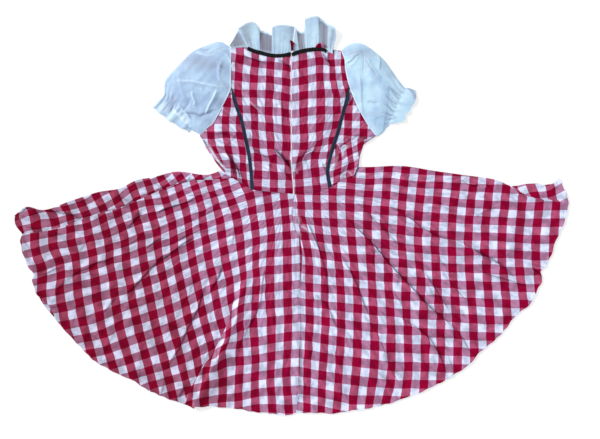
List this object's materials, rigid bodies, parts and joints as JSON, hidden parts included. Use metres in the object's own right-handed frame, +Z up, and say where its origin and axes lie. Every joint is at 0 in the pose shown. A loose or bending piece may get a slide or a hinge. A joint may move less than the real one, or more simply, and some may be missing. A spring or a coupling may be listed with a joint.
{
  "type": "dirndl dress",
  "caption": "Dirndl-style dress in checked cotton with puff sleeves, a neck frill and a full-circle skirt, laid flat with its back up.",
  "frame": {"origin": "middle of the dress's bounding box, on the surface it lies on", "axes": "+X to the right with the back up, +Y from the hem towards the neck, +Z up off the surface"},
  "size_m": [1.437, 1.031, 0.0208],
  "materials": {
    "checked_cotton": "plain-weave cotton with even red and white checks",
    "white_organza": "thin, slightly sheer white blouse cloth",
    "black_binding": "near-black satin binding",
    "blue_ribbon": "dark blue woven ribbon",
    "zip_nylon": "white nylon coil and painted slider"
  },
  "bodies": {
    "root": {"skirt_back_left": "checked_cotton", "skirt_back_right": "checked_cotton", "skirt_front": "checked_cotton", "bodice_back_left": "checked_cotton", "bodice_back_right": "checked_cotton", "bodice_side_left": "checked_cotton", "bodice_side_right": "checked_cotton", "bodice_front_left": "checked_cotton", "bodice_front_right": "checked_cotton", "sleeve_left": "white_organza", "sleeve_right": "white_organza", "frill_back_left": "white_organza", "frill_back_right": "white_organza", "frill_front": "white_organza", "binding_back_left": "black_binding", "binding_back_right": "black_binding", "binding_front": "black_binding", "ribbon_left": "blue_ribbon", "ribbon_right": "blue_ribbon", "zip_chain": "zip_nylon", "zip_slider": "zip_nylon"}
  },
  "joints": []
}
